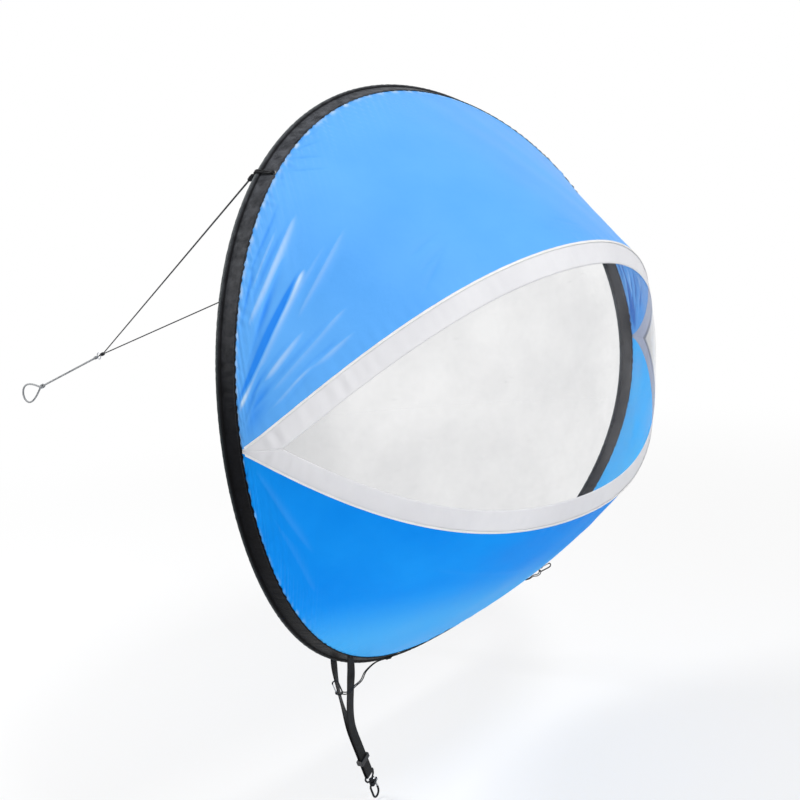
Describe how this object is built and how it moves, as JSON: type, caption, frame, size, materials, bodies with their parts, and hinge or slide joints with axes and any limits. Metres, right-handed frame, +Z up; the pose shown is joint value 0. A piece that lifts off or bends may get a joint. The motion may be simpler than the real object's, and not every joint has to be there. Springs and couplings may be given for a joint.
{
  "type": "canoe sail",
  "caption": "Round pop-up downwind sail: springy hoop in a cloth sleeve, two-tone bowl with clear window, bridle with rein, foot straps with snap hooks.",
  "frame": {"origin": "lowest point of the sleeve at the foot, in the sail's middle plane", "axes": "+Z up the standing sail, -Y forward on the convex side, +Y aft towards the paddler, +X to the sail's right seen from ahead"},
  "size_m": [1.08, 2.0921, 1.2902],
  "materials": {
    "aluminium": "plain drawn tube",
    "black_cord": "black braided cord",
    "black_plastic": "moulded black plastic",
    "black_satin": "black satin sleeve cloth, its rolled edge a little greyer",
    "black_webbing": "black woven webbing",
    "blackened_steel": "black coated steel",
    "blue_ripstop": "blue glossy ripstop nylon",
    "clear_sheet": "clear flexible vinyl, a little cloudy",
    "fibreglass": "smooth glass fibre rod",
    "grey_cord": "grey braided cord with dark flecks",
    "light_blue_ripstop": "light blue glossy ripstop nylon",
    "steel": "bright steel",
    "white_ripstop": "off-white ripstop nylon",
    "white_tape": "bright white folded binding tape"
  },
  "bodies": {
    "sail": {"bridle_knot": "black_cord", "bridle_ring": "steel", "hoop_ferrule": "aluminium", "hoop_rod": "fibreglass", "left_bridle_line": "black_cord", "left_eyelet": "steel", "left_line_knot": "black_cord", "left_line_tie": "black_cord", "left_tether": "black_cord", "left_tether_eyelet": "steel", "left_tether_knot": "black_cord", "left_tether_tie": "black_cord", "lower_panel": "blue_ripstop", "lower_seam_tape": "white_tape", "rein_hitch": "grey_cord", "rein_knot": "grey_cord", "rein_line": "grey_cord", "rein_loop": "grey_cord", "right_bridle_line": "black_cord", "right_eyelet": "steel", "right_line_knot": "black_cord", "right_line_tie": "black_cord", "right_tether": "black_cord", "right_tether_eyelet": "steel", "right_tether_knot": "black_cord", "right_tether_tie": "black_cord", "rim_sleeve": "black_satin", "upper_panel": "light_blue_ripstop", "upper_seam_tape": "white_tape", "window_border": "white_ripstop", "window_pane": "clear_sheet"},
    "left_foot": {"left_foot_strap": "black_webbing", "left_hook_eye": "blackened_steel", "left_clip": "blackened_steel"},
    "left_slider": {"left_strap_slider": "black_plastic"},
    "left_hook": {"left_hook": "blackened_steel", "left_hook_pin": "steel"},
    "left_gate": {"left_hook_gate": "steel"},
    "left_clip_gate": {"left_clip_gate": "steel"},
    "right_foot": {"right_foot_strap": "black_webbing", "right_hook_eye": "blackened_steel", "right_clip": "blackened_steel"},
    "right_slider": {"right_strap_slider": "black_plastic"},
    "right_hook": {"right_hook": "blackened_steel", "right_hook_pin": "steel"},
    "right_gate": {"right_hook_gate": "steel"},
    "right_clip_gate": {"right_clip_gate": "steel"}
  },
  "joints": [
    {"name": "left_foot_swing", "type": "hinge", "parent": "sail", "child": "left_foot", "pos_m": [-0.29523, -0.04778, 0.09395], "axis": [1, 0, 0], "range_deg": [-35, 70], "deforming": ["left_foot_strap", "left_tether"]},
    {"name": "left_strap_adjust", "type": "slide", "parent": "left_foot", "child": "left_slider", "axis": [-0.2873, 0, 0.9578], "range_m": [-0.022, 0.05], "deforming": ["left_foot_strap"]},
    {"name": "left_hook_swivel", "type": "hinge", "parent": "left_foot", "child": "left_hook", "pos_m": [-0.24723, -0.04778, -0.15505], "axis": [-0.2873, 0, 0.9578], "continuous": true},
    {"name": "left_hook_gate", "type": "hinge", "parent": "left_hook", "child": "left_gate", "pos_m": [-0.23186, -0.04538, -0.17518], "axis": [-0.2479, 0.9659, -0.0744], "range_deg": [0, 25], "stiffness_Nm_per_rad": 0.02, "springref_deg": -17.19},
    {"name": "left_clip_gate", "type": "hinge", "parent": "left_foot", "child": "left_clip_gate", "pos_m": [-0.33108, -0.08017, 0.05395], "axis": [0.6915, 0.682, 0.2381], "range_deg": [0, 20], "stiffness_Nm_per_rad": 0.008, "springref_deg": -17.19},
    {"name": "right_foot_swing", "type": "hinge", "parent": "sail", "child": "right_foot", "pos_m": [0.29523, -0.04778, 0.09395], "axis": [1, 0, 0], "range_deg": [-93, 12], "deforming": ["right_foot_strap", "right_tether"]},
    {"name": "right_strap_adjust", "type": "slide", "parent": "right_foot", "child": "right_slider", "axis": [0.2873, -0.8123, 0.5076], "range_m": [-0.022, 0.05], "deforming": ["right_foot_strap"]},
    {"name": "right_hook_swivel", "type": "hinge", "parent": "right_foot", "child": "right_hook", "pos_m": [0.24723, 0.16339, -0.038], "axis": [0.2873, -0.8123, 0.5076], "continuous": true},
    {"name": "right_hook_gate", "type": "hinge", "parent": "right_hook", "child": "right_gate", "pos_m": [0.24898, 0.18355, -0.05342], "axis": [0.2479, 0.5749, 0.7797], "range_deg": [0, 25], "stiffness_Nm_per_rad": 0.02, "springref_deg": -17.19},
    {"name": "right_clip_gate", "type": "hinge", "parent": "right_foot", "child": "right_clip_gate", "pos_m": [0.33108, -0.03102, 0.04528], "axis": [0.6915, -0.1595, -0.7045], "range_deg": [0, 20], "stiffness_Nm_per_rad": 0.008, "springref_deg": -17.19}
  ]
}
